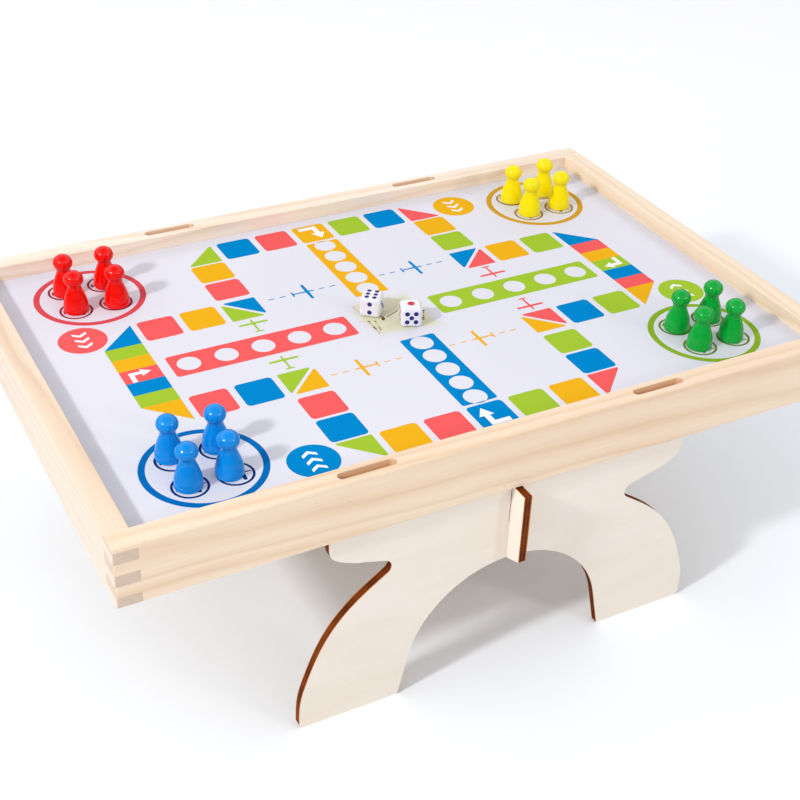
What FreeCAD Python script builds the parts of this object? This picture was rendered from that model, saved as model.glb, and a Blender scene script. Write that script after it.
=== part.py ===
"""Tabletop ludo set: a finger-jointed pine tray with a printed board in its recess,
standing on a knock-down plywood stand, with sixteen pawns and two dice.

Millimetres, +Z up. The origin is on the floor under the middle of the tray.
+X runs along the long side and the front is at -Y.
"""
import FreeCAD
import Part
import math
import os

Vec = FreeCAD.Vector

# ---- driving dimensions -------------------------------------------------------------
TRAY_LENGTH = 360.0
TRAY_WIDTH = 240.0
RAIL_THICKNESS = 10.5
RAIL_HEIGHT = 29.0
LEG_HEIGHT = 103.0
PLAY_RECESS = 7.4           # printed surface below the top of the rails

SHEET_THICKNESS = 0.4
SHEET_EDGE_GAP = 0.1
BOARD_THICKNESS = 3.0
BOARD_GROOVE_DEPTH = 3.0
PIECE_GAP = 0.1             # room for the ink under a standing piece

TOP_FINGER = 2.0            # height of the short finger at the top of each corner
OUTER_EASE = 0.9            # rounding of the tray's outer edges
INNER_EASE = 0.5

SLOT_LENGTH = 26.6
SLOT_WIDTH = 4.3
SLOT_DEPTH = 7.0
SLOT_X = 71.9

PLY = 4.0                   # thickness of the stand's plywood
TAB_LENGTH = 22.0
TAB_HEIGHT = 6.0
LAP_CLEARANCE = 0.1
LAP_SLACK = 0.35            # more room in the panels' slots, left of the stretcher
LAP_HEIGHT = 82.5           # floor to the meeting line of the halving joints
STRETCHER_TOP = 102.0
STRETCHER_BOTTOM = 62.5
STRETCHER_HALF_LENGTH = 126.4
STRETCHER_CUT = (8.4, 3.5)  # lower corner cut: along the length, up the end

# leg panel, half outline: X from the middle, Z from the floor
WING_HALF = 89.6
WING_SIDE_BOTTOM = 97.0
WING_CURVE = [(88.3, 92.3), (84.5, 89.2), (76.0, 85.6)]
WAIST_CENTRE = (64.0, 78.3)
WAIST_RADIUS = 3.9
WAIST_FROM, WAIST_TO = 107.0, 235.0
LEG_CURVE = [(75.7, 64.9), (86.6, 53.6), (94.4, 40.5), (100.3, 25.3)]
FOOT_HALF = 103.6
FOOT_SIDE_TOP = 5.0
FOOT_ROUND = 2.5
ARCH_RADIUS = 51.2
ARCH_CENTRE_Z = 11.0
ARCH_FOOT_HALF = 54.8

PAWN_RADIUS = 6.0
PAWN_BASE_ROUND = 0.6
PAWN_BODY = [(5.95, 3.1), (5.45, 6.2), (4.45, 9.3), (3.66, 11.3), (3.3, 12.8)]
PAWN_HEAD_RADIUS = 4.72     # half the width of the slightly flattened head
PAWN_HEAD_RISE = 4.15       # half its height
PAWN_HEAD_SIDE = 3.57       # radius of the rounding round the head's widest part
PAWN_HEAD_Z = 16.95
PAWN_HEAD_LOW = -36.0       # where that rounding gives way to the neck, in degrees

DIE_SIZE = 10.3
DIE_ROUND = 1.8
PIP_RADIUS = 1.18
PIP_DEPTH = 0.4
ACE_RADIUS = 1.85
ACE_DEPTH = 0.55
PIP_COLUMN = 2.1            # pips left and right of the middle of a face
PIP_ROW = 2.2               # pips above and below the middle of a face
SIX_COLUMN = 1.9
SIX_ROW = 3.0

# where the loose pieces stand on the board: X, Y of each axis
PAWN_PLACES = {
    "red": [(-136.4, 84.7), (-136.5, 66.9), (-116.1, 84.7), (-117.1, 64.6)],
    "blue": [(-137.6, -64.5), (-137.2, -85.8), (-117.5, -66.0), (-119.4, -85.3)],
    "yellow": [(118.2, 84.9), (118.8, 67.0), (139.1, 85.6), (138.5, 67.8)],
    "green": [(118.0, -68.0), (118.0, -85.6), (138.0, -67.0), (136.4, -85.9)],
}
# name, X, Y, turn about Z in degrees, and the pips on each face
DICE = [
    ("die_1", -9.0, 6.2, -38.9,
     {"top": 6, "bottom": 1, "front": 2, "back": 5, "right": 3, "left": 4}),
    ("die_2", 3.9, -9.6, -22.6,
     {"top": 1, "bottom": 6, "front": 5, "back": 2, "right": 3, "left": 4}),
]

# ---- worked out ---------------------------------------------------------------------
TRAY_BOTTOM = LEG_HEIGHT
TRAY_TOP = TRAY_BOTTOM + RAIL_HEIGHT
HALF_X, HALF_Y = TRAY_LENGTH / 2, TRAY_WIDTH / 2
INNER_X, INNER_Y = HALF_X - RAIL_THICKNESS, HALF_Y - RAIL_THICKNESS
PLAY_Z = TRAY_TOP - PLAY_RECESS
BOARD_TOP = PLAY_Z - SHEET_THICKNESS
PIECE_Z = PLAY_Z + PIECE_GAP
RAIL_MIDDLE_Y = HALF_Y - RAIL_THICKNESS / 2
FINGER = (RAIL_HEIGHT - TOP_FINGER) / 5
BIG = 500.0


def box(x0, x1, y0, y1, z0, z1):
    return Part.makeBox(x1 - x0, y1 - y0, z1 - z0, Vec(x0, y0, z0))


def spline(points, start, end):
    """Smooth edge through the points, leaving and arriving along the given directions."""
    curve = Part.BSplineCurve()
    curve.interpolate(Points=points, InitialTangent=start, FinalTangent=end)
    return curve.toShape()


def line(a, b):
    return Part.LineSegment(a, b).toShape()


def arc(a, middle, b):
    return Part.Arc(a, middle, b).toShape()


def edges_where(shape, test):
    """The edges whose two ends and middle all pass the test."""
    found = []
    for edge in shape.Edges:
        middle = edge.valueAt((edge.FirstParameter + edge.LastParameter) / 2)
        points = [vertex.Point for vertex in edge.Vertexes] + [middle]
        if all(test(p) for p in points):
            found.append(edge)
    return found


# ---- tray ---------------------------------------------------------------------------
def frame_ring():
    """All four rails as one ring with eased edges, before it is divided at the fingers."""
    block = box(-HALF_X, HALF_X, -HALF_Y, HALF_Y, TRAY_BOTTOM, TRAY_TOP)
    block = block.makeFillet(OUTER_EASE, block.Edges)
    ring = block.cut(box(-INNER_X, INNER_X, -INNER_Y, INNER_Y, TRAY_BOTTOM - 1, TRAY_TOP + 1))

    def on_inner_top(p):
        return (abs(p.z - TRAY_TOP) < 1e-4 and abs(p.x) < INNER_X + 1e-4
                and abs(p.y) < INNER_Y + 1e-4)

    return ring.makeFillet(INNER_EASE, edges_where(ring, on_inner_top))


def finger_levels():
    """Heights of the fingers at a corner, top down: (bottom, top, long rail owns it)."""
    levels = [(TRAY_TOP - TOP_FINGER, BIG, True)]
    top = TRAY_TOP - TOP_FINGER
    for i in range(5):
        bottom = top - FINGER if i < 4 else -BIG
        levels.append((bottom, top, i % 2 == 1))
        top = bottom
    return levels


def corner_blocks(of_long_rails):
    """Blocks over the four corners at the levels that the long or the short rails fill."""
    blocks = []
    for bottom, top, long_owns in finger_levels():
        if long_owns != of_long_rails:
            continue
        for x in (-BIG, INNER_X):
            for y in (-BIG, INNER_Y):
                blocks.append(box(x, x + BIG - (INNER_X if x < 0 else 0),
                                  y, y + BIG - (INNER_Y if y < 0 else 0), bottom, top))
    return blocks


def slot_cutter(x, y, z0, z1):
    """Round-ended slot, as a router leaves it."""
    reach = (SLOT_LENGTH - SLOT_WIDTH) / 2
    radius = SLOT_WIDTH / 2
    cutter = box(x - reach, x + reach, y - radius, y + radius, z0, z1)
    for end in (-reach, reach):
        cutter = cutter.fuse(Part.makeCylinder(radius, z1 - z0, Vec(x + end, y, z0)))
    return cutter.removeSplitter()


def board_blank():
    """The plywood board with its edges in the grooves of the rails."""
    x, y = INNER_X + BOARD_GROOVE_DEPTH, INNER_Y + BOARD_GROOVE_DEPTH
    return box(-x, x, -y, y, BOARD_TOP - BOARD_THICKNESS, BOARD_TOP)


def long_rail(ring, side):
    low, high = (INNER_Y, BIG) if side > 0 else (-BIG, -INNER_Y)
    rail = ring.common(box(-BIG, BIG, low, high, 0, BIG))
    rail = rail.cut(corner_blocks(of_long_rails=False))
    for x in (-SLOT_X, SLOT_X):
        y = side * RAIL_MIDDLE_Y
        rail = rail.cut(slot_cutter(x, y, TRAY_TOP - SLOT_DEPTH, TRAY_TOP + 1))
        rail = rail.cut(slot_cutter(x, y, TRAY_BOTTOM - 1, TRAY_BOTTOM + SLOT_DEPTH))
    return rail.cut(board_blank())


def short_rail(ring, side):
    low, high = (INNER_X, BIG) if side > 0 else (-BIG, -INNER_X)
    rail = ring.common(box(low, high, -BIG, BIG, 0, BIG))
    rail = rail.cut(corner_blocks(of_long_rails=True))
    return rail.cut(board_blank())


def printed_sheet():
    x, y = INNER_X - SHEET_EDGE_GAP, INNER_Y - SHEET_EDGE_GAP
    return box(-x, x, -y, y, BOARD_TOP, PLAY_Z)


# ---- stand --------------------------------------------------------------------------
def on_circle(centre, radius, degrees):
    angle = math.radians(degrees)
    return (centre[0] + radius * math.cos(angle), centre[1] + radius * math.sin(angle))


def leg_side(side):
    """Edges of one side of a leg panel, from the top of its wing to the arch."""
    def at(x, z):
        return Vec(side * x, 0, z)

    waist_in = on_circle(WAIST_CENTRE, WAIST_RADIUS, WAIST_FROM)
    waist_mid = on_circle(WAIST_CENTRE, WAIST_RADIUS, (WAIST_FROM + WAIST_TO) / 2)
    waist_out = on_circle(WAIST_CENTRE, WAIST_RADIUS, WAIST_TO)
    into_waist = at(-math.sin(math.radians(WAIST_FROM)), math.cos(math.radians(WAIST_FROM)))
    out_of_waist = at(-math.sin(math.radians(WAIST_TO)), math.cos(math.radians(WAIST_TO)))
    down = Vec(0, 0, -1)

    round_mid = on_circle((FOOT_HALF - FOOT_ROUND, FOOT_ROUND), FOOT_ROUND, -45)
    reach = math.hypot(ARCH_FOOT_HALF, ARCH_CENTRE_Z)
    touch = math.degrees(math.acos(ARCH_RADIUS / reach)
                         - math.atan2(ARCH_CENTRE_Z, ARCH_FOOT_HALF))
    arch_start = on_circle((0, ARCH_CENTRE_Z), ARCH_RADIUS, touch)
    arch_mid = on_circle((0, ARCH_CENTRE_Z), ARCH_RADIUS, (touch + 90) / 2)

    wing = [(WING_HALF, WING_SIDE_BOTTOM)] + WING_CURVE + [waist_in]
    leg = [waist_out] + LEG_CURVE + [(FOOT_HALF, FOOT_SIDE_TOP)]
    return [
        line(at(0, LEG_HEIGHT), at(WING_HALF, LEG_HEIGHT)),
        line(at(WING_HALF, LEG_HEIGHT), at(WING_HALF, WING_SIDE_BOTTOM)),
        spline([at(*p) for p in wing], down, into_waist),
        arc(at(*waist_in), at(*waist_mid), at(*waist_out)),
        spline([at(*p) for p in leg], out_of_waist, down),
        line(at(FOOT_HALF, FOOT_SIDE_TOP), at(FOOT_HALF, FOOT_ROUND)),
        arc(at(FOOT_HALF, FOOT_ROUND), at(*round_mid), at(FOOT_HALF - FOOT_ROUND, 0)),
        line(at(FOOT_HALF - FOOT_ROUND, 0), at(ARCH_FOOT_HALF, 0)),
        line(at(ARCH_FOOT_HALF, 0), at(*arch_start)),
        arc(at(*arch_start), at(*arch_mid), at(0, ARCH_CENTRE_Z + ARCH_RADIUS)),
    ]


def leg_panel(side):
    """One bench-shaped panel under a long rail, with two tabs and the stretcher's slot."""
    outline = Part.Wire(Part.__sortEdges__(leg_side(1) + leg_side(-1)))
    near = side * RAIL_MIDDLE_Y - PLY / 2
    panel = Part.Face(outline).extrude(Vec(0, PLY, 0))
    panel.translate(Vec(0, near, 0))
    for x in (-SLOT_X, SLOT_X):
        tab = box(x - TAB_LENGTH / 2, x + TAB_LENGTH / 2, near, near + PLY,
                  LEG_HEIGHT - 1, LEG_HEIGHT + TAB_HEIGHT)
        panel = panel.fuse(tab)
    half = (PLY + LAP_CLEARANCE) / 2
    slot = box(-half - LAP_SLACK, half, near - 1, near + PLY + 1, LAP_HEIGHT, BIG)
    return panel.cut(slot).removeSplitter()


def leg_stretcher():
    """Cross plate that joins the two leg panels with halving joints."""
    cut_along, cut_up = STRETCHER_CUT
    end = STRETCHER_HALF_LENGTH
    corners = [(-end, STRETCHER_TOP), (-end, STRETCHER_BOTTOM + cut_up),
               (-end + cut_along, STRETCHER_BOTTOM), (end - cut_along, STRETCHER_BOTTOM),
               (end, STRETCHER_BOTTOM + cut_up), (end, STRETCHER_TOP)]
    points = [Vec(-PLY / 2, y, z) for y, z in corners]
    plate = Part.Face(Part.makePolygon(points + points[:1])).extrude(Vec(PLY, 0, 0))
    half = (PLY + LAP_CLEARANCE) / 2
    for side in (-1, 1):
        y = side * RAIL_MIDDLE_Y
        plate = plate.cut(box(-PLY, PLY, y - half, y + half, 0, LAP_HEIGHT))
    return plate


# ---- loose pieces -------------------------------------------------------------------
def pawn(x, y):
    """Turned pawn: bell-shaped body that narrows to a neck and flows into a flattened ball.
    The ball's crown is part of a sphere, which meets the rounding of its sides smoothly."""
    base = PAWN_RADIUS - PAWN_BASE_ROUND
    bevel = on_circle((base, PAWN_BASE_ROUND), PAWN_BASE_ROUND, -45)
    inset = PAWN_HEAD_RADIUS - PAWN_HEAD_SIDE
    flat = PAWN_HEAD_RADIUS - PAWN_HEAD_RISE
    drop = flat * (2 * inset - flat) / (2 * (inset - flat))
    crown = PAWN_HEAD_RISE + drop
    meeting = math.degrees(math.atan2(drop, inset))
    side = (inset, PAWN_HEAD_Z)
    top = (0, PAWN_HEAD_Z - drop)
    head_low, head_side, head_join = (flat_point(on_circle(side, PAWN_HEAD_SIDE, angle))
                                      for angle in (PAWN_HEAD_LOW, 0, meeting))
    head_crown, head_top = (flat_point(on_circle(top, crown, angle))
                            for angle in ((meeting + 90) / 2, 90))
    low = math.radians(PAWN_HEAD_LOW)
    into_head = Vec(-math.sin(low), 0, math.cos(low))
    up = Vec(0, 0, 1)
    body = [Vec(PAWN_RADIUS, 0, PAWN_BASE_ROUND)] + [flat_point(spot) for spot in PAWN_BODY]
    profile = [
        line(Vec(0, 0, 0), Vec(base, 0, 0)),
        arc(Vec(base, 0, 0), flat_point(bevel), body[0]),
        spline(body + [head_low], up, into_head),
        arc(head_low, head_side, head_join),
        arc(head_join, head_crown, head_top),
        line(head_top, Vec(0, 0, 0)),
    ]
    solid = Part.Face(Part.Wire(profile)).revolve(Vec(0, 0, 0), up, 360)
    solid.translate(Vec(x, y, PIECE_Z))
    return solid


def flat_point(spot):
    """A point of the pawn's outline, from its distance from the axis and its height."""
    return Vec(spot[0], 0, spot[1])


def pip_spots(count):
    """Places of the pips on a face, across and up from its middle."""
    corners = [(-PIP_COLUMN, PIP_ROW), (PIP_COLUMN, -PIP_ROW),
               (-PIP_COLUMN, -PIP_ROW), (PIP_COLUMN, PIP_ROW)]
    if count == 2:
        return [(0, PIP_ROW), (0, -PIP_ROW)]
    if count == 6:
        return [(side * SIX_COLUMN, row * SIX_ROW) for side in (-1, 1) for row in (-1, 0, 1)]
    middle = [(0, 0)] if count % 2 else []
    return middle + corners[:count - len(middle)]


def dimple(spot, count, across, up, outward):
    """Ball that presses one pip into a face."""
    radius, depth = (ACE_RADIUS, ACE_DEPTH) if count == 1 else (PIP_RADIUS, PIP_DEPTH)
    ball = (radius**2 + depth**2) / (2 * depth)
    centre = across * spot[0] + up * spot[1] + outward * (DIE_SIZE / 2 + ball - depth)
    return Part.makeSphere(ball, centre)


def die(x, y, turn, faces):
    half = DIE_SIZE / 2
    cube = box(-half, half, -half, half, -half, half)
    cube = cube.makeFillet(DIE_ROUND, cube.Edges)
    x_axis, y_axis, z_axis = Vec(1, 0, 0), Vec(0, 1, 0), Vec(0, 0, 1)
    sides = {"top": (x_axis, y_axis, z_axis), "bottom": (x_axis, y_axis, z_axis * -1),
             "front": (x_axis, z_axis, y_axis * -1), "back": (x_axis, z_axis, y_axis),
             "right": (y_axis, z_axis, x_axis), "left": (y_axis, z_axis, x_axis * -1)}
    for name, count in faces.items():
        for spot in pip_spots(count):
            cube = cube.cut(dimple(spot, count, *sides[name]))
    cube.rotate(Vec(0, 0, 0), z_axis, turn)
    cube.translate(Vec(x, y, PIECE_Z + half))
    return cube


# ---- export -------------------------------------------------------------------------
def build():
    ring = frame_ring()
    nodes = {
        "front_rail": long_rail(ring, -1),
        "back_rail": long_rail(ring, 1),
        "left_rail": short_rail(ring, -1),
        "right_rail": short_rail(ring, 1),
        "board_panel": board_blank(),
        "printed_sheet": printed_sheet(),
        "front_leg_panel": leg_panel(-1),
        "back_leg_panel": leg_panel(1),
        "leg_stretcher": leg_stretcher(),
    }
    for colour, places in PAWN_PLACES.items():
        for number, (x, y) in enumerate(places, 1):
            nodes[f"pawn_{colour}_{number}"] = pawn(x, y)
    for name, x, y, turn, faces in DICE:
        nodes[name] = die(x, y, turn, faces)
    return nodes


os.makedirs("parts", exist_ok=True)
for node, shape in build().items():
    solids = shape.Solids
    if len(solids) != 1 or not shape.isValid():
        raise ValueError(f"{node}: {len(solids)} solids, valid {shape.isValid()}")
    solids[0].exportStep(f"parts/{node}.step")
    print(node, round(solids[0].Volume / 1000, 2), "cm3")
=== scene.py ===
"""Looks of a tabletop ludo set: pine tray with a printed track on a plywood stand, sixteen pawns
and two dice. Metres, +Z up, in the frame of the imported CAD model."""
import math

import bmesh
import bpy
from mathutils import Matrix, Vector


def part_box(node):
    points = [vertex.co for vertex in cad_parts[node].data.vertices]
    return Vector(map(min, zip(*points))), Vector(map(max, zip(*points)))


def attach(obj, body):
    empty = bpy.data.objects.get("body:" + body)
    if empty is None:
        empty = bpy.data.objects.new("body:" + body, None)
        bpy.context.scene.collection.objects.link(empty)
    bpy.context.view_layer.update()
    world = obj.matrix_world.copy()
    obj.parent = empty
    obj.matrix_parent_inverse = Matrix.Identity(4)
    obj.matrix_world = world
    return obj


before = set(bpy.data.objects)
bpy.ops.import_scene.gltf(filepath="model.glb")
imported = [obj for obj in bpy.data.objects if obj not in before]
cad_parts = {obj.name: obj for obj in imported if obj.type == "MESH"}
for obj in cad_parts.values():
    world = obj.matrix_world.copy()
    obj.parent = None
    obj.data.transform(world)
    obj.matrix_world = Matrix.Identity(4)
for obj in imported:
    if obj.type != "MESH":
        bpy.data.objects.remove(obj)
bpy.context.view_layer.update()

MM = 0.001
PITCH = 21.2 * MM                            # spacing of the printed squares

# ---- places read from the frame -------------------------------------------------------
PLAY_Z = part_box("printed_sheet")[1].z        # top of the printed sheet
TRAY_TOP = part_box("front_rail")[1].z
BACK_LOW, BACK_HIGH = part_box("back_rail")
RAIL_MIDDLE_Y = (BACK_LOW.y + BACK_HIGH.y) / 2

# ---- sizes repeated from the CAD source -------------------------------------------------
PANEL_HALF = 2 * MM                          # half the thickness of the stand's plywood
SLOT_X = 71.9 * MM                           # middles of the slots in the long rails
# Half a slot's length and width, and a little more, so that its walls count as inside.
SLOT_HALF_LENGTH, SLOT_HALF_WIDTH = 13.6 * MM, 2.3 * MM
PIECE_LIFT = 0.1 * MM                        # gap under each pawn and die, for the ink


# ---- colour and node helpers ----------------------------------------------------------
def srgb(red, green, blue):
    """Screen colour, 0 to 255, as the linear RGBA that shaders use."""
    def linear(value):
        value /= 255
        return value / 12.92 if value <= 0.04045 else ((value + 0.055) / 1.055) ** 2.4
    return (linear(red), linear(green), linear(blue), 1.0)


def darker(colour, share):
    """The colour with only this share of its light."""
    return tuple(share * value for value in colour[:3]) + (1.0,)


class Nodes:
    """Node tree of a material or of the world, with a short method for each kind of node."""

    def __init__(self, owner, shader):
        owner.use_nodes = True
        self.owner = owner
        self.tree = owner.node_tree
        self.shader = self.tree.nodes[shader]

    def node(self, kind, inputs=None, **settings):
        """A new node; each input is a value or the socket that feeds it."""
        made = self.tree.nodes.new(kind)
        for key, value in settings.items():
            setattr(made, key, value)
        for key, value in (inputs or {}).items():
            self.feed(made.inputs[key], value)
        return made

    def feed(self, socket, value):
        if isinstance(value, bpy.types.NodeSocket):
            self.tree.links.new(value, socket)
        else:
            socket.default_value = value

    def set(self, **inputs):
        """Values or links for the shader's sockets; underscores in a name are spaces."""
        for key, value in inputs.items():
            self.feed(self.shader.inputs[key.replace("_", " ")], value)

    def math(self, operation, a, b=0.0):
        return self.node("ShaderNodeMath", {0: a, 1: b}, operation=operation).outputs[0]

    def dot(self, a, b):
        return self.node("ShaderNodeVectorMath", {0: a, 1: b},
                         operation="DOT_PRODUCT").outputs["Value"]

    def object_place(self):
        return self.node("ShaderNodeTexCoord").outputs["Object"]

    def generated_place(self):
        return self.node("ShaderNodeTexCoord").outputs["Generated"]

    def normal(self):
        return self.node("ShaderNodeNewGeometry").outputs["True Normal"]

    def split(self, vector):
        return self.node("ShaderNodeSeparateXYZ", {0: vector}).outputs

    def join(self, x, y, z):
        return self.node("ShaderNodeCombineXYZ", {0: x, 1: y, 2: z}).outputs[0]

    def noise(self, place, scale=1.0, detail=2.0, roughness=0.5, distortion=0.0):
        return self.node("ShaderNodeTexNoise", {
            "Vector": place, "Scale": scale, "Detail": detail, "Roughness": roughness,
            "Distortion": distortion}).outputs["Fac"]

    def stretched_noise(self, place, scales, shift=0.0, **settings):
        """Noise with its own fineness, per metre, along each of the place's three parts."""
        a, b, c = (self.math("MULTIPLY", part, scale) for part, scale in zip(place, scales))
        return self.noise(self.join(a, b, self.math("ADD", c, shift)), **settings)

    def remap(self, value, low, high, to_low=0.0, to_high=1.0, smooth=False):
        kind = "SMOOTHSTEP" if smooth else "LINEAR"
        return self.node("ShaderNodeMapRange", {
            "Value": value, "From Min": low, "From Max": high,
            "To Min": to_low, "To Max": to_high}, interpolation_type=kind).outputs[0]

    def ramp(self, value, stops):
        """Colour for a value, from stops of (value, colour)."""
        made = self.node("ShaderNodeValToRGB", {0: value})
        elements = made.color_ramp.elements
        while len(elements) < len(stops):
            elements.new(0.5)
        for element, (position, colour) in zip(elements, stops):
            element.position = position
            element.color = colour
        return made.outputs[0]

    def mix(self, factor, a, b, blend="MIX"):
        made = self.node("ShaderNodeMix", data_type="RGBA", blend_type=blend)
        self.feed(made.inputs["Factor"], factor)
        self.feed(made.inputs["A"], a)
        self.feed(made.inputs["B"], b)
        return made.outputs["Result"]

    def bump(self, height, distance, strength):
        return self.node("ShaderNodeBump", {"Height": height, "Distance": distance,
                                            "Strength": strength}).outputs[0]


def material_nodes(name):
    """Nodes of a new material."""
    return Nodes(bpy.data.materials.new(name), "Principled BSDF")


# ---- wood -----------------------------------------------------------------------------
UNTINTED = (1, 1, 1, 1)
GROWTH_RING = 6.5 * MM                       # mean spacing of the growth rings
# How far the heart line strays along the board, slowly and then in ripples.
HEART_DRIFT, HEART_SHAKE = 10 * MM, 1.6 * MM
# A surface starts to count as facing an axis at the first of these, and counts in full at the
# second; 1 is square to the axis.
FACING_FROM, FACING_FULLY = 0.6, 0.8
# Depths under the tray's top between which the darker colour of the routed slots comes in: partly
# the rougher routed wood, partly painted shade in the recesses.
ROUTED_SHADE_FROM, ROUTED_SHADE_FULLY = 0.2 * MM, 0.9 * MM


def grain_axes(n, along):
    """Place split into the distance along the grain and the two across it."""
    x, y, z = n.split(n.object_place())
    return (x, y, z) if along == "X" else (y, x, z)


def facing(n, axis):
    """1 where the surface faces along X, Y or Z, and 0 where it is turned away from it."""
    squarely = n.math("ABSOLUTE", n.split(n.normal())["XYZ".index(axis)])
    return n.remap(squarely, FACING_FROM, FACING_FULLY)


def growth_phase(n, grain, heart, slope, seed):
    """Place within a growth ring, 0 to 1. The rings run round the heart line, and both it and
    they waver; slope tilts the line along the board."""
    a, b, c = grain
    slow = n.stretched_noise(grain, (5.0, 22.0, 22.0), seed, detail=2.0)
    ripple = n.stretched_noise(grain, (26.0, 130.0, 130.0), seed, detail=3.0)
    lean = n.math("MULTIPLY", a, slope)
    drift = n.math("ADD", n.remap(slow, 0.0, 1.0, -HEART_DRIFT, HEART_DRIFT), lean)
    shake = n.remap(ripple, 0.0, 1.0, -HEART_SHAKE, HEART_SHAKE)
    from_b = n.math("ADD", n.math("SUBTRACT", b, heart[0]), shake)
    from_c = n.math("ADD", n.math("SUBTRACT", c, heart[1]), drift)
    radius = n.math("SQRT", n.math("ADD", n.math("MULTIPLY", from_b, from_b),
                                   n.math("MULTIPLY", from_c, from_c)))
    rings = n.math("DIVIDE", radius, GROWTH_RING)
    wander = n.noise(n.join(rings, 0.37 + seed, 0.0), scale=0.6, detail=1.0)
    return n.math("FRACT", n.math("ADD", rings, n.math("MULTIPLY", wander, 1.6)))


def in_slots(n):
    """1 on the walls and floors of the slots in the long rails' tops, 0 elsewhere."""
    x, y, z = n.split(n.object_place())
    near_x = n.math("ABSOLUTE", n.math("SUBTRACT", n.math("ABSOLUTE", x), SLOT_X))
    near_y = n.math("ABSOLUTE", n.math("SUBTRACT", n.math("ABSOLUTE", y), RAIL_MIDDLE_Y))
    low = n.remap(z, TRAY_TOP - ROUTED_SHADE_FULLY, TRAY_TOP - ROUTED_SHADE_FROM, 1.0, 0.0)
    inside = n.math("MULTIPLY", n.math("LESS_THAN", near_x, SLOT_HALF_LENGTH),
                    n.math("LESS_THAN", near_y, SLOT_HALF_WIDTH))
    return n.math("MULTIPLY", inside, low)


def pine(name, along, heart, slope, seed, slots=False, painted_side_shade=None, tone=UNTINTED):
    """Plain-sawn pine. Growth rings run round a heart line that lies off the board, so the
    long faces show grain and the sawn ends show the same rings as arcs. heart is the line's
    place across the grain. The tint for the faces that look along X is painted shade: with it
    those faces are painted flatter and darker, as if less light fell on them."""
    n = material_nodes(name)
    grain = grain_axes(n, along)
    phase = growth_phase(n, grain, heart, slope, seed)
    pale, cream = srgb(245, 226, 202), srgb(241, 220, 194)
    tan, late = srgb(237, 213, 184), srgb(230, 202, 170)
    bands = n.ramp(phase, [(0.0, cream), (0.2, pale), (0.48, cream), (0.7, tan),
                           (0.84, late), (0.93, tan), (1.0, cream)])
    # slow changes of tone, from cream to pinkish
    cloud = n.stretched_noise(grain, (9.0, 34.0, 34.0), seed + 4.0, detail=2.0)
    colour = n.mix(n.remap(cloud, 0.35, 0.75, 0.0, 0.6), bands, srgb(245, 228, 206))
    colour = n.mix(n.remap(cloud, 0.55, 0.2, 0.0, 0.3), colour, srgb(238, 208, 184))
    # fibres and short resin flecks along the grain
    fibre = n.stretched_noise(grain, (35.0, 1900.0, 1900.0), detail=3.0, roughness=0.6)
    colour = n.mix(n.remap(fibre, 0.3, 0.75, 0.0, 0.2), colour, srgb(222, 192, 160), "MULTIPLY")
    flecks = n.stretched_noise(grain, (190.0, 1500.0, 1500.0), detail=1.0)
    fleck = n.remap(flecks, 0.755, 0.8, 0.0, 0.45)
    colour = n.mix(fleck, colour, srgb(176, 131, 92))
    colour = n.mix(1.0, colour, tone, "MULTIPLY")
    # painted shade on the faces that look along X: their grain flattened towards cream, then
    # darkened by the given tint
    if painted_side_shade:
        side = facing(n, "X")
        colour = n.mix(n.math("MULTIPLY", side, 0.6), colour, cream)
        colour = n.mix(side, colour, painted_side_shade, "MULTIPLY")
    # sawn ends take more light in and look greyer
    end = facing(n, along)
    pores = n.noise(n.object_place(), scale=2600.0, detail=2.0)
    grey = n.mix(n.remap(pores, 0.35, 0.7, 0.15, 0.8), srgb(214, 190, 172), srgb(178, 150, 130))
    colour = n.mix(n.math("MULTIPLY", end, 0.78), colour, grey)
    # the slots' walls and floors in darker tan: partly the rougher routed wood, partly painted
    # shade in the recess
    if slots:
        colour = n.mix(n.math("MULTIPLY", in_slots(n), 0.55), colour, srgb(222, 172, 118))
    height = n.math("ADD", n.math("MULTIPLY", fibre, 0.6), n.math("MULTIPLY", phase, 0.25))
    height = n.math("SUBTRACT", height, n.math("MULTIPLY", fleck, 0.6))
    n.set(Base_Color=colour, Roughness=n.remap(fibre, 0.2, 0.8, 0.5, 0.64),
          Normal=n.bump(height, 0.12 * MM, 0.55), IOR=1.45)
    return n.owner


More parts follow.
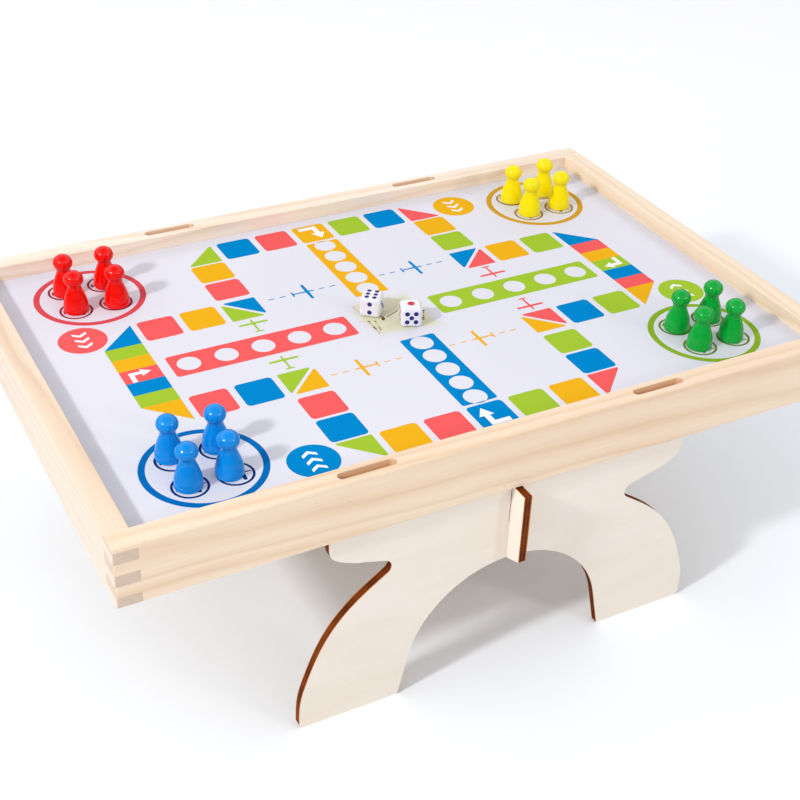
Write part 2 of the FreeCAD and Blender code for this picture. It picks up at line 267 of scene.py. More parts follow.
def stand_plywood(name, thin):
    """Laser-cut basswood plywood. thin is the axis across the sheet: its two faces are pale
    and every cut edge is scorched, with the glue lines of the plies showing."""
    n = material_nodes(name)
    place = n.object_place()
    x, y, z = n.split(place)
    across, level = (y, x) if thin == "Y" else (x, y)
    sheet = (level, z, across)
    # veneer: broad soft figure and fine fibres along the length
    figure = n.stretched_noise(sheet, (16.0, 55.0, 30.0), detail=3.0, distortion=0.6)
    face = n.ramp(figure, [(0.25, srgb(239, 228, 217)), (0.5, srgb(237, 226, 213)),
                           (0.75, srgb(234, 221, 206))])
    fibre = n.stretched_noise(sheet, (90.0, 1800.0, 500.0), detail=3.0, roughness=0.6)
    face = n.mix(n.remap(fibre, 0.35, 0.8, 0.0, 0.05), face, srgb(206, 176, 146), "MULTIPLY")
    dashes = n.stretched_noise(sheet, (260.0, 2400.0, 0.0), 0.3, detail=0.0)
    face = n.mix(n.remap(dashes, 0.76, 0.84, 0.0, 0.1), face, srgb(176, 140, 108))
    # scorched edge: two dark glue lines between three plies, streaked by the laser
    middle = RAIL_MIDDLE_Y if thin == "Y" else 0.0
    ply = n.math("ABSOLUTE", n.math("SUBTRACT", n.math("ABSOLUTE", across), middle))
    streak = n.noise(place, scale=1500.0, detail=2.0)
    slow = n.noise(place, scale=70.0, detail=2.0)
    burnt = n.ramp(n.remap(ply, 0.0, PANEL_HALF), [
        (0.0, srgb(128, 58, 14)), (0.28, srgb(96, 40, 10)), (0.36, srgb(22, 7, 2)),
        (0.46, srgb(62, 23, 6)), (0.66, srgb(122, 54, 12)), (0.82, srgb(178, 96, 24)),
        (1.0, srgb(222, 156, 86))])
    burnt = n.mix(n.remap(streak, 0.35, 0.7, 0.0, 0.4), burnt, srgb(34, 13, 6))
    burnt = n.mix(n.remap(slow, 0.45, 0.7, 0.0, 0.4), burnt, srgb(170, 84, 22))
    is_face = facing(n, thin)
    n.set(Base_Color=n.mix(is_face, burnt, face),
          Roughness=n.remap(is_face, 0.0, 1.0, 0.75, 0.6),
          Normal=n.bump(n.math("ADD", fibre, n.math("MULTIPLY", streak, 0.4)), 0.08 * MM, 0.4),
          Specular_IOR_Level=0.1)
    return n.owner


def board_plywood():
    """Plain rotary-cut plywood under the print."""
    n = material_nodes("board_plywood_look")
    place = n.split(n.object_place())
    figure = n.stretched_noise(place, (9.0, 40.0, 1.0), detail=4.0, distortion=1.4)
    bands = n.math("FRACT", n.math("MULTIPLY", figure, 7.0))
    colour = n.ramp(bands, [(0.0, srgb(206, 180, 148)), (0.6, srgb(196, 168, 134)),
                            (0.9, srgb(180, 150, 114)), (1.0, srgb(206, 180, 148))])
    fibre = n.stretched_noise(place, (60.0, 1600.0, 1.0), detail=3.0)
    colour = n.mix(n.remap(fibre, 0.3, 0.8, 0.0, 0.3), colour, srgb(180, 140, 100), "MULTIPLY")
    n.set(Base_Color=colour, Roughness=0.7, Normal=n.bump(fibre, 0.1 * MM, 0.5))
    return n.owner


# ---- print ----------------------------------------------------------------------------
def satin_film(n):
    """Laminate over paper and ink alike: its fine tooth, and its bump with the faint
    unevenness of the board under it."""
    place = n.object_place()
    tooth = n.noise(place, scale=1400.0, detail=2.0)
    waves = n.noise(place, scale=120.0, detail=2.0)
    height = n.math("ADD", waves, n.math("MULTIPLY", tooth, 0.12))
    return tooth, n.bump(height, 0.05 * MM, 0.35)


def paper():
    """Bare paper under the film."""
    n = material_nodes("printed_paper_look")
    tooth, bumps = satin_film(n)
    cloud = n.noise(n.object_place(), scale=9.0, detail=2.0)
    colour = n.mix(n.remap(cloud, 0.3, 0.7), srgb(218, 217, 226), srgb(215, 214, 223))
    n.set(Base_Color=colour, Roughness=n.remap(tooth, 0.3, 0.7, 0.38, 0.46), Normal=bumps,
          Specular_IOR_Level=0.12)
    return n.owner


def ink(name, colour, mottle=0.06):
    """Offset ink under the same film; mottle is how uneven its colour is."""
    n = material_nodes(name)
    tooth, bumps = satin_film(n)
    place = n.object_place()
    fine = n.noise(place, scale=1700.0, detail=1.0)
    slow = n.noise(place, scale=60.0, detail=2.0)
    uneven = n.math("ADD", n.remap(fine, 0.35, 0.7, 0.0, mottle),
                    n.remap(slow, 0.4, 0.7, 0.0, mottle))
    n.set(Base_Color=n.mix(uneven, colour, darker(colour, 0.88)),
          Roughness=n.remap(tooth, 0.3, 0.7, 0.36, 0.44), Normal=bumps,
          Specular_IOR_Level=0.0)
    return n.owner


# ---- plastics -------------------------------------------------------------------------
def pawn_plastic(name, colour, deep):
    """Glossy moulded plastic with a faint seam where the two halves of the mould met."""
    n = material_nodes(name)
    place = n.object_place()
    middle = 0.5                             # of the pawn's width, which runs from 0 to 1
    from_middle = n.math("SUBTRACT", n.split(n.generated_place())[0], middle)
    seam = n.remap(n.math("ABSOLUTE", from_middle), 0.0, 0.014, 1.0, 0.0, smooth=True)
    dimpled = n.noise(place, scale=330.0, detail=2.0)
    scuffs = n.noise(place, scale=900.0, detail=4.0, roughness=0.7)
    slow = n.noise(place, scale=120.0, detail=1.0)
    height = n.math("ADD", n.math("MULTIPLY", dimpled, 0.6), n.math("MULTIPLY", seam, 0.22))
    n.set(Base_Color=n.mix(n.remap(slow, 0.35, 0.7, 0.0, 0.3), colour, deep),
          Roughness=n.remap(scuffs, 0.3, 0.75, 0.12, 0.17),
          Normal=n.bump(height, 0.1 * MM, 0.2))
    n.set(Subsurface_Weight=0.03, Subsurface_Radius=(1.0, 0.6, 0.4), Subsurface_Scale=0.6 * MM,
          IOR=1.45, Specular_IOR_Level=0.38)
    return n.owner


def dice_plastic():
    """Slightly cloudy white plastic with fine scuffs."""
    n = material_nodes("dice_white_look")
    place = n.object_place()
    cloud = n.noise(place, scale=260.0, detail=2.0)
    scuffs = n.noise(place, scale=1500.0, detail=3.0)
    n.set(Base_Color=n.mix(n.remap(cloud, 0.3, 0.7), srgb(232, 231, 236), srgb(226, 224, 231)),
          Roughness=n.remap(scuffs, 0.3, 0.7, 0.18, 0.3),
          Normal=n.bump(cloud, 0.06 * MM, 0.25))
    n.set(Subsurface_Weight=0.15, Subsurface_Radius=(1.0, 0.9, 0.85), Subsurface_Scale=1.0 * MM,
          IOR=1.45, Specular_IOR_Level=0.3)
    return n.owner


def pip_paint(name, colour):
    """Paint dabbed into the dimples of the dice, a little uneven."""
    n = material_nodes(name)
    brushed = n.noise(n.object_place(), scale=2400.0, detail=2.0)
    uneven = n.remap(brushed, 0.3, 0.7, 0.0, 0.5)
    n.set(Base_Color=n.mix(uneven, colour, darker(colour, 0.6)),
          Roughness=0.3, Normal=n.bump(brushed, 0.02 * MM, 0.3))
    return n.owner


# ---- dress the CAD nodes --------------------------------------------------------------
RAIL_EASE, PANEL_EASE = 0.3 * MM, 0.12 * MM  # rounding of the edges of rails and leg panels
EASED_ANGLE = math.radians(50)               # edges sharper than this are rounded
WELD_REACH = 0.002 * MM


def dress(node, material, bevel=0.0):
    """Give a CAD node its material, and round its sharp edges where a bevel is named."""
    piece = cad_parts[node]
    for slot in piece.material_slots:
        slot.material = material
    if bevel:
        weld = piece.modifiers.new("weld", "WELD")
        weld.merge_threshold = WELD_REACH
        round_off = piece.modifiers.new("bevel", "BEVEL")
        round_off.width = bevel
        round_off.segments = 2
        round_off.limit_method = "ANGLE"
        round_off.angle_limit = EASED_ANGLE
        round_off.harden_normals = True


front_pine = pine("pine_front", "X", (-0.055, 0.165), slope=0.05, seed=1.3, slots=True,
                  tone=(0.965, 0.925, 0.9, 1))
dress("front_rail", front_pine, RAIL_EASE)
back_pine = pine("pine_back", "X", (0.175, 0.06), slope=-0.03, seed=7.9, slots=True,
                 tone=(1.03, 1.08, 1.18, 1))
dress("back_rail", back_pine, RAIL_EASE)
# the left rail's faces that look along X are darkened by painted shade
left_pine = pine("pine_left", "Y", (-0.24, 0.02), slope=0.04, seed=3.1,
                 painted_side_shade=srgb(236, 242, 250), tone=srgb(246, 246, 248))
dress("left_rail", left_pine, RAIL_EASE)
dress("right_rail", pine("pine_right", "Y", (0.12, 0.175), slope=0.02, seed=5.7), RAIL_EASE)
dress("board_panel", board_plywood())
dress("printed_sheet", paper())
panel_wood = stand_plywood("leg_panel_plywood", "Y")
dress("front_leg_panel", panel_wood, PANEL_EASE)
dress("back_leg_panel", panel_wood, PANEL_EASE)
dress("leg_stretcher", stand_plywood("stretcher_plywood", "X"), PANEL_EASE)

# The pawns' plastic, and the deeper tone that it drifts to.
PAWN_COLOURS = {
    "red": (srgb(236, 8, 0), srgb(222, 4, 0)),
    "blue": (srgb(0, 136, 220), srgb(0, 117, 200)),
    "yellow": (srgb(246, 226, 0), srgb(242, 216, 0)),
    "green": (srgb(0, 164, 57), srgb(0, 144, 47)),
}
for colour, (bright, deep) in PAWN_COLOURS.items():
    plastic = pawn_plastic(f"{colour}_plastic_look", bright, deep)
    for number in range(1, 5):
        dress(f"pawn_{colour}_{number}", plastic)
dice_white = dice_plastic()
for name in ("die_1", "die_2"):
    dress(name, dice_white)


# ---- printed track --------------------------------------------------------------------
# One layer of ink, and the height of the first layer's middle over the paper, in metres.
INK_THICK, INK_LIFT = 0.03 * MM, 0.012 * MM

# The places and sizes of the print are in pitches of the track, from the middle of the board:
# U to the right, V to the back.
CELL, SIDE_CELL = 0.85, 0.82                 # squares; those of the side columns are less high
CELL_ROUND = 0.10
COLUMNS = (1.005, 2.01)
CORNER_U = 3.01
ARM_U = (4.005, 5.01)
END_ROW = 4.417
SIDE_ROWS = (3.53, 2.634)
ARM_ROW = 1.635
CORNER_ROUND, SPLIT_ROUND = 0.035, 0.03      # corners of the two kinds of triangle
SPLIT_GAP = 0.055                            # paper between the halves of a divided square
STRIPE_U = 6.0
STRIPE_EDGES = (1.2, 0.725, 0.25, -0.25, -0.725, -1.2)
STRIPE_TIP = 2.02
HOME_RADIUS, HOME_LINE = 1.27, 0.138
RING_STEP = 0.463
RING_RADIUS, RING_LINE = 0.378, 0.053
START_RADIUS = 0.538
SPOT_RADIUS = 0.262
ROUND_STEPS = 6                              # straight pieces in a rounded corner
DASH_LENGTH, DASH_WIDTH, DASH_ROUND = 0.15, 0.03, 0.012
DASH_PLACES = (-0.79, -0.51, 0.49, 0.77)     # from the middle of an aeroplane
CHEVRON_PLACES = (-0.24, 0.0, 0.24)          # from the middle of a starting disc


def circle(u, v, radius, count=72):
    steps = [2 * math.pi * i / count for i in range(count)]
    return [(u + radius * math.cos(t), v + radius * math.sin(t)) for t in steps]


def rounded(points, radius):
    """A polygon with its corners rounded off."""
    outline = []
    for before, here, after in zip(points[-1:] + points[:-1], points, points[1:] + points[:1]):
        here = Vector(here)
        to_before = (Vector(before) - here).normalized()
        to_after = (Vector(after) - here).normalized()
        half = to_before.angle(to_after) / 2
        reach = radius / math.tan(half)
        centre = here + (to_before + to_after).normalized() * radius / math.sin(half)
        start, end = here + to_before * reach - centre, here + to_after * reach - centre
        turn = start.angle_signed(end)
        for i in range(ROUND_STEPS + 1):
            step = Matrix.Rotation(-turn * i / ROUND_STEPS, 2)
            outline.append(tuple(centre + step @ start))
    return outline


def rectangle(u, v, width, height, radius=CELL_ROUND):
    w, h = width / 2, height / 2
    return rounded([(u - w, v - h), (u + w, v - h), (u + w, v + h), (u - w, v + h)], radius)


def turned(points, degrees, u, v):
    """Points turned about the middle, then moved to (u, v)."""
    c, s = math.cos(math.radians(degrees)), math.sin(math.radians(degrees))
    return [(u + c * x - s * y, v + s * x + c * y) for x, y in points]


def mirrored(points, u_side, v_side):
    """Points for the right back quarter, moved to the quarter with these signs."""
    return [(u_side * u, v_side * v) for u, v in points]


def ink_piece(name, loops, material, layer=0):
    """Flat shapes of one colour on the sheet; a loop inside another is a hole."""
    curve = bpy.data.curves.new(name, "CURVE")
    curve.dimensions = "2D"
    curve.fill_mode = "BOTH"
    curve.extrude = INK_THICK / 2
    for loop in loops:
        spline = curve.splines.new("POLY")
        spline.points.add(len(loop) - 1)
        for point, (u, v) in zip(spline.points, loop):
            point.co = (u * PITCH, v * PITCH, 0, 1)
        spline.use_cyclic_u = True
    drawn = bpy.data.objects.new(name, curve)
    mesh = bpy.data.meshes.new_from_object(drawn)
    bpy.data.objects.remove(drawn)
    bpy.data.curves.remove(curve)
    mesh.name = name
    mesh.transform(Matrix.Translation((0, 0, PLAY_Z + INK_LIFT + INK_THICK * layer)))
    mesh.materials.clear()
    mesh.materials.append(material)
    piece = bpy.data.objects.new(name, mesh)
    bpy.context.scene.collection.objects.link(piece)
    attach(piece, "tray")


def corner_triangle(u_side, v_side):
    """Cut-off square at a corner of the track, its long side outwards."""
    u, v, h = CORNER_U, END_ROW, CELL / 2
    points = [(u - h, v + h), (u - h, v - h), (u + h, v - h)]
    return rounded(mirrored(points, u_side, v_side), CORNER_ROUND)


def split_triangle(u_side, v_side, upper):
    """Half of a divided square: the upper half is next to the side column, the other half
    next to the arm."""
    u, v, h, gap = CORNER_U, ARM_ROW, CELL / 2, SPLIT_GAP
    if upper:
        points = [(u - h, v - h + gap), (u + h - gap, v + h), (u - h, v + h)]
    else:
        points = [(u - h + gap, v - h), (u + h, v - h), (u + h, v + h - gap)]
    return rounded(mirrored(points, u_side, v_side), SPLIT_ROUND)


def stripe_end(u_side, v_side):
    """Pointed end of the column of stripes at each side."""
    h = CELL / 2
    points = [(STRIPE_U + h, STRIPE_EDGES[0]), (STRIPE_U - h, STRIPE_TIP),
              (STRIPE_U - h, STRIPE_EDGES[0])]
    return mirrored(points, u_side, v_side)


def stripe(u_side, row):
    """One of the straight stripes between the pointed ends, counted from the back."""
    high, low = STRIPE_EDGES[row], STRIPE_EDGES[row + 1]
    h = CELL / 2
    near, far = sorted((u_side * (STRIPE_U - h), u_side * (STRIPE_U + h)))
    return [(near, low), (far, low), (far, high), (near, high)]


def ring(u, v, radius, line):
    """A ring of the outer radius given; line is how thick it is."""
    return [circle(u, v, radius), circle(u, v, radius - line)]


def ring_spots(u, v):
    """Middles of the four thin rings in a home, one for each pawn."""
    return [(u + du, v + dv) for du in (-RING_STEP, RING_STEP) for dv in (-RING_STEP, RING_STEP)]


# Half the outline of a small aeroplane, from its nose to its tail.
PLANE = [(0.30, 0.0), (0.275, 0.02), (0.155, 0.028), (0.15, 0.33), (0.115, 0.35), (0.08, 0.33),
         (0.075, 0.03), (-0.215, 0.02), (-0.235, 0.105), (-0.27, 0.105), (-0.265, 0.0)]


def plane(u, v, degrees, size=1.0, span=1.0):
    """Small aeroplane seen from above, its nose along the given direction."""
    half = [(size * x, span * y) for x, y in PLANE]
    other = [(x, -y) for x, y in reversed(half[1:-1])]
    return turned(half + other, degrees, u, v)


def dashes(u, v):
    """Four dashes in line, two each side of an aeroplane."""
    return [rectangle(u + place, v, DASH_LENGTH, DASH_WIDTH, DASH_ROUND) for place in DASH_PLACES]


def bent_arrow(u, v, degrees, size):
    """Arrow that comes in from the side, turns once and points ahead along +U."""
    bend, neck = -0.16, 0.05                 # where the shaft turns, and where the head begins
    w = 0.05                                 # half the shaft's width
    points = [(bend - w, -0.30), (bend + w, -0.30), (bend + w, -w), (neck, -w),
              (neck, -0.13), (0.26, 0.0), (neck, 0.13), (neck, w), (bend - w, w)]
    return turned([(size * x, size * y) for x, y in points], degrees, u, v)


def chevrons(u, v, degrees):
    """Three chevrons in a row, the mark on a starting disc."""
    loops = []
    for place in CHEVRON_PLACES:
        points = [(-0.10, -0.16), (-0.01, -0.16), (0.10, 0.0), (-0.01, 0.16), (-0.10, 0.16),
                  (0.01, 0.0)]
        loops.append(turned([(x + place, y) for x, y in points], degrees, u, v))
    return loops


INKS = {
    "blue": srgb(3, 128, 193),
    "red": srgb(234, 92, 92),
    "green": srgb(156, 189, 52),
    "yellow": srgb(229, 171, 30),
}
HOME_INKS = {
    "blue": srgb(5, 104, 176),
    "red": srgb(212, 74, 86),
    "green": srgb(136, 170, 42),
    "yellow": srgb(203, 154, 40),
}
DEEP_INKS = {
    "blue": srgb(12, 52, 112),
    "red": srgb(148, 38, 66),
    "green": srgb(104, 132, 44),
    "yellow": srgb(160, 124, 40),
}
# A side of the board is -1 or 1: left or right for U, front or back for V.
# Squares on the ends of the track, left to right.
END_COLOURS = {1: ("blue", "red", "yellow", "green", "blue"),
               -1: ("yellow", "red", "blue", "green", "yellow")}
# The two squares of a side column, from the end inwards, and of the arm next to it, outwards.
SIDE_COLOURS = {(-1, 1): ("yellow", "red"), (1, 1): ("yellow", "green"),
                (-1, -1): ("blue", "red"), (1, -1): ("blue", "green")}
CORNER_COLOURS = {(-1, 1): "green", (1, 1): "red", (-1, -1): "green", (1, -1): "red"}
# The upper and the other half of each divided square.
SPLIT_COLOURS = {(-1, 1): ("blue", "green"), (1, 1): ("blue", "red"),
                 (-1, -1): ("yellow", "green"), (1, -1): ("yellow", "red")}
# Stripes, back to front; the first and the last are the pointed ends.
STRIPES = {-1: ("blue", "green", "yellow", "red", "blue", "green", "yellow"),
           1: ("blue", "red", "yellow", "green", "blue", "red", "yellow")}
# The small aeroplanes under the pawns: the way they point, and their length and span as shares
# of what PLANE gives.
RING_PLANES = {"red": -5, "blue": -3, "yellow": -50, "green": -48}
RING_PLANE_SIZE, RING_PLANE_SPAN = 1.07, 0.72
# Homes: the middle of the thick ring.
HOMES = {"red": (-5.99, 3.60), "blue": (-5.99, -3.61), "yellow": (6.05, 3.61),
         "green": (6.05, -3.60)}
# Starting discs: place, and the way their chevrons point.
STARTS = {"red": (-6.71, 1.83, -90), "blue": (-4.0, -4.32, 90), "yellow": (4.0, 4.32, -90),
          "green": (6.74, -1.83, 90)}
# Strips to the middle: how far from the middle they begin and end, their width, and their spots.
STRIP_REACH_U = (1.07, 5.35)
STRIP_REACH_V = (1.075, 3.91)
STRIP_WIDTH = 0.845
STRIP_ROUND_U, STRIP_ROUND_V = 0.08, 0.05
SPOTS_U = [1.492 + 0.863 * i for i in range(5)]
SPOTS_V = [1.344 + 0.586 * i for i in range(5)]
# Aeroplanes of their own on the board: place, and the way they point.
PLANES = {
    "blue": [(-1.47, 1.79, 0), (1.40, 1.79, 0)],
    "yellow": [(-1.53, -1.70, 180), (1.365, -1.70, 180)],
    "green": [(-3.05, 0.86, 90), (-3.05, -0.83, 90)],
    "red": [(3.07, 0.86, -90), (3.07, -0.83, -90)],
}
# White bent arrows on the track: place, the way they point, and their size.
ARROWS = [(0.133, 4.468, -90, 1.35), (-0.133, -4.468, 90, 1.35),
          (-6.036, 0.08, 0, 1.06), (6.036, -0.08, 180, 1.06)]
# The olive patch in the middle of the board: its middle, the same in U and V, its size and the
# rounding of its corners.
PATCH_MIDDLE, PATCH_SIZE, PATCH_ROUND = 0.02, (1.78, 1.76), 0.06
# Its tint starts to fade at the first distance from its middle and is gone at the second, and
# the fade's edge is ragged by the third.
TINT_FULL, TINT_GONE, TINT_RAGGED = 0.56 * PITCH, 0.88 * PITCH, 0.08 * PITCH
# Rows of small brown dots on the patch: start, end, how many, and their size.
BROWN_DOTS = [((0.70, -0.12), (0.52, -0.45), 6, 0.034)]
FAINT_DOTS = [((-0.70, 0.66), (-0.66, 0.30), 6, 0.022),
              ((-0.66, -0.04), (-0.66, -0.58), 9, 0.034),
              ((-0.52, -0.08), (-0.57, -0.46), 6, 0.028)]


def strip_along_u(side):
    low, high = STRIP_REACH_U
    outline = rectangle(side * (low + high) / 2, 0, high - low, STRIP_WIDTH, STRIP_ROUND_U)
    return [outline] + [circle(side * u, 0, SPOT_RADIUS) for u in SPOTS_U]


def strip_along_v(side):
    low, high = STRIP_REACH_V
    outline = rectangle(0, side * (low + high) / 2, STRIP_WIDTH, high - low, STRIP_ROUND_V)
    return [outline] + [circle(0, side * v, SPOT_RADIUS) for v in SPOTS_V]


def track_shapes():
    """All printed shapes, in lists by colour."""
    shapes = {colour: [] for colour in INKS}
    for v_side, colours in END_COLOURS.items():
        places = (-COLUMNS[1], -COLUMNS[0], 0, COLUMNS[0], COLUMNS[1])
        for u, colour in zip(places, colours):
            shapes[colour].append(rectangle(u, v_side * END_ROW, CELL, CELL))
    for (u_side, v_side), colours in SIDE_COLOURS.items():
        for v, colour in zip(SIDE_ROWS, colours):
            shapes[colour].append(rectangle(u_side * CORNER_U, v_side * v, CELL, SIDE_CELL))
    for (u_side, v_side), colours in SIDE_COLOURS.items():
        for u, colour in zip(ARM_U, colours):
            shapes[colour].append(rectangle(u_side * u, v_side * ARM_ROW, CELL, CELL))
    for (u_side, v_side), colour in CORNER_COLOURS.items():
        shapes[colour].append(corner_triangle(u_side, v_side))
    for (u_side, v_side), (upper, lower) in SPLIT_COLOURS.items():
        shapes[upper].append(split_triangle(u_side, v_side, True))
        shapes[lower].append(split_triangle(u_side, v_side, False))
    for u_side, colours in STRIPES.items():
        shapes[colours[0]].append(stripe_end(u_side, 1))
        shapes[colours[-1]].append(stripe_end(u_side, -1))
        for row, colour in enumerate(colours[1:-1]):
            shapes[colour].append(stripe(u_side, row))
    shapes["red"] += strip_along_u(-1)
    shapes["green"] += strip_along_u(1)
    shapes["yellow"] += strip_along_v(1)
    shapes["blue"] += strip_along_v(-1)
    for colour, (u, v, _) in STARTS.items():
        shapes[colour].append(circle(u, v, START_RADIUS))
    for colour, places in PLANES.items():
        for u, v, degrees in places:
            shapes[colour].append(plane(u, v, degrees))
            if colour in ("blue", "yellow"):
                shapes[colour] += dashes(u, v)
    return shapes


def print_homes():
    """A thick ring round each home and a thin one round each pawn, with a small aeroplane."""
    for colour, (u, v) in HOMES.items():
        thick = ink(f"ink_home_{colour}_look", HOME_INKS[colour], 0.12)
        ink_piece(f"ink_home_{colour}", ring(u, v, HOME_RADIUS, HOME_LINE), thick)
        thin = []
        for spot in ring_spots(u, v):
            thin += ring(*spot, RING_RADIUS, RING_LINE)
            thin.append(plane(*spot, RING_PLANES[colour], RING_PLANE_SIZE, RING_PLANE_SPAN))
        ink_piece(f"ink_rings_{colour}", thin,
                  ink(f"ink_rings_{colour}_look", DEEP_INKS[colour], 0.2))


def patch_ink():
    """Pale olive square whose tint fades into the paper along its edges."""
    n = material_nodes("ink_patch_look")
    place = n.object_place()
    cloud = n.noise(place, scale=110.0, detail=3.0)
    from_middle = [n.math("ABSOLUTE", n.math("SUBTRACT", part, PATCH_MIDDLE * PITCH))
                   for part in n.split(place)[:2]]
    reach = n.math("MAXIMUM", *from_middle)
    reach = n.math("ADD", reach, n.remap(cloud, 0.3, 0.7, -TINT_RAGGED, TINT_RAGGED))
    fade = n.remap(reach, TINT_FULL, TINT_GONE, 0.0, 1.0, smooth=True)
    tint = n.ramp(cloud, [(0.3, srgb(214, 212, 180)), (0.55, srgb(210, 208, 182)),
                          (0.75, srgb(216, 204, 176))])
    n.set(Base_Color=n.mix(fade, tint, srgb(217, 216, 225)),
          Roughness=n.remap(cloud, 0.3, 0.7, 0.36, 0.46), Specular_IOR_Level=0.0)
    return n.owner


def dotted(start, end, count, size):
    """Small dots of ink along a line, of uneven sizes."""
    loops = []
    for i in range(count):
        t = i / (count - 1)
        u = start[0] + (end[0] - start[0]) * t
        v = start[1] + (end[1] - start[1]) * t
        loops.append(circle(u, v, size * (0.7 + 0.3 * math.sin(5.0 * i + 1.0)), 10))
    return loops


def print_patch():
    """Middle of the board: the olive patch, and a blot, a line and dots in brown on it."""
    patch = rectangle(PATCH_MIDDLE, PATCH_MIDDLE, *PATCH_SIZE, PATCH_ROUND)
    ink_piece("ink_patch", [patch], patch_ink())
    brown = ink("ink_brown_look", srgb(120, 78, 44), 0.5)
    blot = [(0.085 * math.cos(t / 2), 0.045 * math.sin(t / 2)) for t in range(13)]
    strokes = [turned(blot, 70, -0.30, -0.05), rectangle(-0.30, 0.08, 0.03, 0.14, 0.01)]
    for row in BROWN_DOTS:
        strokes += dotted(*row)
    ink_piece("ink_brown", strokes, brown, layer=1)
    faint = ink("ink_faint_look", srgb(132, 114, 80), 0.6)
    marks = []
    for row in FAINT_DOTS:
        marks += dotted(*row)
    marks.append(turned(rectangle(0, 0, 0.40, 0.03, 0.01), 24, -0.02, 0.05))
    ink_piece("ink_faint", marks, faint, layer=1)


def print_track():
    """All the print, in two layers: colours first, then white and brown over them."""
    for colour, loops in track_shapes().items():
        ink_piece(f"ink_{colour}", loops, ink(f"ink_{colour}_look", INKS[colour]))
    print_homes()
    print_patch()
    white = [bent_arrow(*arrow) for arrow in ARROWS]
    for u, v, degrees in STARTS.values():
        white += chevrons(u, v, degrees)
    ink_piece("ink_white", white, ink("ink_white_look", srgb(236, 235, 240), 0.02), layer=1)


print_track()


# ---- pips -----------------------------------------------------------------------------
# Numbers on the dice, as drilled in the CAD model: middle, turn, and the pips on each face.
DIE_HALF = 5.15 * MM
DIE_Z = PLAY_Z + PIECE_LIFT + DIE_HALF
PIP_RADIUS, PIP_DEPTH = 1.18 * MM, 0.4 * MM
ACE_RADIUS, ACE_DEPTH = 1.85 * MM, 0.55 * MM
PIP_COLUMN, PIP_ROW = 2.1 * MM, 2.2 * MM
SIX_COLUMN, SIX_ROW = 1.9 * MM, 3.0 * MM
PAINT = 0.025 * MM                           # half the thickness of the paint
CAP_RINGS, CAP_SIDES = 5, 24                 # how finely a coat of paint is divided
RED_COUNTS = (1, 4)                          # faces whose pips are red; the others are blue
DICE = {
    "die_1": ((-9.0 * MM, 6.2 * MM), -38.9,
              {"top": 6, "bottom": 1, "front": 2, "back": 5, "right": 3, "left": 4}),
    "die_2": ((3.9 * MM, -9.6 * MM), -22.6,
              {"top": 1, "bottom": 6, "front": 5, "back": 2, "right": 3, "left": 4}),
}
# For each face: the directions across it, up it and out of it.
FACES = {
    "top": ((1, 0, 0), (0, 1, 0), (0, 0, 1)),
    "bottom": ((1, 0, 0), (0, 1, 0), (0, 0, -1)),
    "front": ((1, 0, 0), (0, 0, 1), (0, -1, 0)),
    "back": ((1, 0, 0), (0, 0, 1), (0, 1, 0)),
    "right": ((0, 1, 0), (0, 0, 1), (1, 0, 0)),
    "left": ((0, 1, 0), (0, 0, 1), (-1, 0, 0)),
}


def pip_spots(count):
    """Middles of the pips on a face with this many."""
    corners = [(-PIP_COLUMN, PIP_ROW), (PIP_COLUMN, -PIP_ROW),
               (-PIP_COLUMN, -PIP_ROW), (PIP_COLUMN, PIP_ROW)]
    if count == 2:
        return [(0, PIP_ROW), (0, -PIP_ROW)]
    if count == 6:
        return [(side * SIX_COLUMN, row * SIX_ROW) for side in (-1, 1) for row in (-1, 0, 1)]
    middle = [(0, 0)] if count % 2 else []
    return middle + corners[:count - len(middle)]


def paint_cap(mesh, spot, radius, depth, across, up, out):
    """Coat of paint in one dimple: a shallow bowl that follows it, with a closed back."""
    ball = (radius ** 2 + depth ** 2) / (2 * depth)
    edge = math.asin((radius - PAINT) / ball)
    middle = across * spot[0] + up * spot[1] + out * (DIE_HALF + ball - depth)
    skins = []
    for size in (ball - PAINT, ball + PAINT):
        skin = [mesh.verts.new(middle - out * size)]
        for i in range(1, CAP_RINGS + 1):
            lean = edge * i / CAP_RINGS
            for j in range(CAP_SIDES):
                turn = 2 * math.pi * j / CAP_SIDES
                side = across * math.cos(turn) + up * math.sin(turn)
                slanted = side * math.sin(lean) - out * math.cos(lean)
                skin.append(mesh.verts.new(middle + slanted * size))
        skins.append(skin)
    for skin in skins:
        for j in range(CAP_SIDES):
            k = (j + 1) % CAP_SIDES
            mesh.faces.new((skin[0], skin[1 + j], skin[1 + k]))
            for i in range(CAP_RINGS - 1):
                low, high = 1 + i * CAP_SIDES, 1 + (i + 1) * CAP_SIDES
                mesh.faces.new((skin[low + j], skin[high + j], skin[high + k], skin[low + k]))
    inner, outer = skins
    rim = 1 + (CAP_RINGS - 1) * CAP_SIDES
    for j in range(CAP_SIDES):
        k = (j + 1) % CAP_SIDES
        mesh.faces.new((inner[rim + j], outer[rim + j], outer[rim + k], inner[rim + k]))


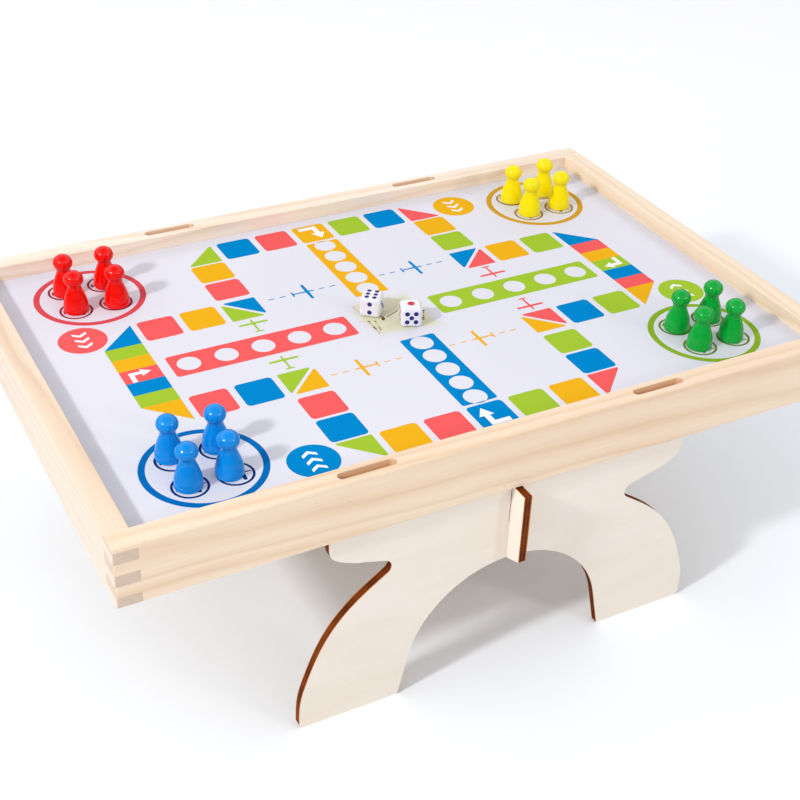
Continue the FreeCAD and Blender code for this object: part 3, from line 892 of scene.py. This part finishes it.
def paint_pips():
    """Two pieces for each die, its blue pips and its red ones, which ride on the die."""
    blue = pip_paint("pip_blue_look", srgb(22, 22, 118))
    red = pip_paint("pip_red_look", srgb(204, 26, 44))
    for name, (place, degrees, faces) in DICE.items():
        turn = Matrix.Rotation(math.radians(degrees), 4, "Z")
        where = Matrix.Translation((place[0], place[1], DIE_Z)) @ turn
        for paint, wanted in ((blue, False), (red, True)):
            mesh = bmesh.new()
            for face, count in faces.items():
                if (count in RED_COUNTS) != wanted:
                    continue
                across, up, out = (Vector(direction) for direction in FACES[face])
                radius, depth = (ACE_RADIUS, ACE_DEPTH) if count == 1 else (PIP_RADIUS, PIP_DEPTH)
                for spot in pip_spots(count):
                    paint_cap(mesh, spot, radius, depth, across, up, out)
            bmesh.ops.recalc_face_normals(mesh, faces=mesh.faces)
            for face in mesh.faces:
                face.smooth = True
            mesh.transform(where)
            label = f"{name}_pips_{'red' if wanted else 'blue'}"
            made = bpy.data.meshes.new(label)
            mesh.to_mesh(made)
            mesh.free()
            made.materials.append(paint)
            piece = bpy.data.objects.new(label, made)
            bpy.context.scene.collection.objects.link(piece)
            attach(piece, name)


paint_pips()


# ---- studio ---------------------------------------------------------------------------
FLOOR_HALF = 3.0
FLOOR_FADE = 0.5                             # the floor's painted cool shade in front fades to plain white this far back
BOARD_MIDDLE = Vector((0.0, 0.0, PLAY_Z))
# The sky's brightness, by the upward part of the direction that is looked in.
SKY = [(0.0, 0.04), (0.28, 0.32), (0.52, 1.0), (0.72, 0.64), (1.0, 0.18)]
SKY_TINT = (1.0, 1.005, 1.03)
# The sky is dimmer on the side where the camera stands: strength on the far side and there.
CAMERA_SIDE = (-0.48, -0.87, 0)
SKY_FAR, SKY_NEAR = 1.72, 1.16
# Lights: distance from the middle of the board, bearing from +X and height in degrees, size of
# the square that shines, and power in watts.
LIGHTS = {
    "key": (1.6, 197, 34.5, 0.13, 12.9),
    "glint": (1.4, -60, 21, 0.14, 2.1),
}
# The camera: place, direction, and the way to the picture's right.
LENS, SENSOR = 63.8, 36.0
CAMERA_PLACE = Vector((-0.2823, -0.5205, PLAY_Z + 0.3473))
CAMERA_FORWARD = Vector((0.4017, 0.7272, -0.5566))
CAMERA_RIGHT = Vector((0.8852, -0.4640, 0.0327))


def pale_floor():
    """Plain pale floor, painted a little bluer and darker in front as cool shade; further back it
    is plain white.
    """
    corners = [(-1, -1), (1, -1), (1, 1), (-1, 1)]
    mesh = bpy.data.meshes.new("floor")
    mesh.from_pydata([(FLOOR_HALF * x, FLOOR_HALF * y, 0) for x, y in corners], [],
                     [(0, 1, 2, 3)])
    floor = bpy.data.objects.new("floor", mesh)
    bpy.context.scene.collection.objects.link(floor)
    n = material_nodes("floor_look")
    # painted cool shade in front, fading to white towards the back
    back = n.remap(n.split(n.object_place())[1], 0.0, FLOOR_FADE, 0.0, 1.0, smooth=True)
    n.set(Base_Color=n.mix(back, srgb(245, 250, 255), srgb(255, 255, 255)), Roughness=0.7)
    mesh.materials.append(n.owner)


def studio_sky():
    """Soft light from all round, brightest about 30 degrees up."""
    n = Nodes(bpy.data.worlds.new("studio"), "Background")
    direction = n.generated_place()
    glow = n.ramp(n.split(direction)[2], [
        (height, tuple(value * share for share in SKY_TINT) + (1,)) for height, value in SKY])
    strength = n.remap(n.dot(direction, CAMERA_SIDE), 0.0, 0.9, SKY_FAR, SKY_NEAR)
    n.set(Color=glow, Strength=strength)
    bpy.context.scene.world = n.owner


def soft_light(name, distance, bearing, height, size, power):
    """Small square light that shines on the middle of the board."""
    bearing, height = math.radians(bearing), math.radians(height)
    outwards = Vector((math.cos(height) * math.cos(bearing),
                       math.cos(height) * math.sin(bearing), math.sin(height)))
    light = bpy.data.lights.new(name, "AREA")
    light.shape = "SQUARE"
    light.size = size
    light.energy = power
    lamp = bpy.data.objects.new(name, light)
    lamp.location = BOARD_MIDDLE + distance * outwards
    lamp.rotation_euler = (BOARD_MIDDLE - lamp.location).to_track_quat("-Z", "Y").to_euler()
    bpy.context.scene.collection.objects.link(lamp)


def camera():
    """The camera, at the photograph's viewing angle."""
    data = bpy.data.cameras.new("camera")
    data.lens = LENS
    data.sensor_width = SENSOR
    data.clip_start = 0.01
    item = bpy.data.objects.new("camera", data)
    forward = CAMERA_FORWARD.normalized()
    right = (CAMERA_RIGHT - forward * CAMERA_RIGHT.dot(forward)).normalized()
    up = right.cross(forward)
    turn = Matrix((right, up, -forward)).transposed().to_4x4()
    item.matrix_world = Matrix.Translation(CAMERA_PLACE) @ turn
    bpy.context.scene.collection.objects.link(item)
    bpy.context.scene.camera = item


pale_floor()
studio_sky()
for name, settings in LIGHTS.items():
    soft_light(name, *settings)
camera()
bpy.context.scene.view_settings.view_transform = "Standard"
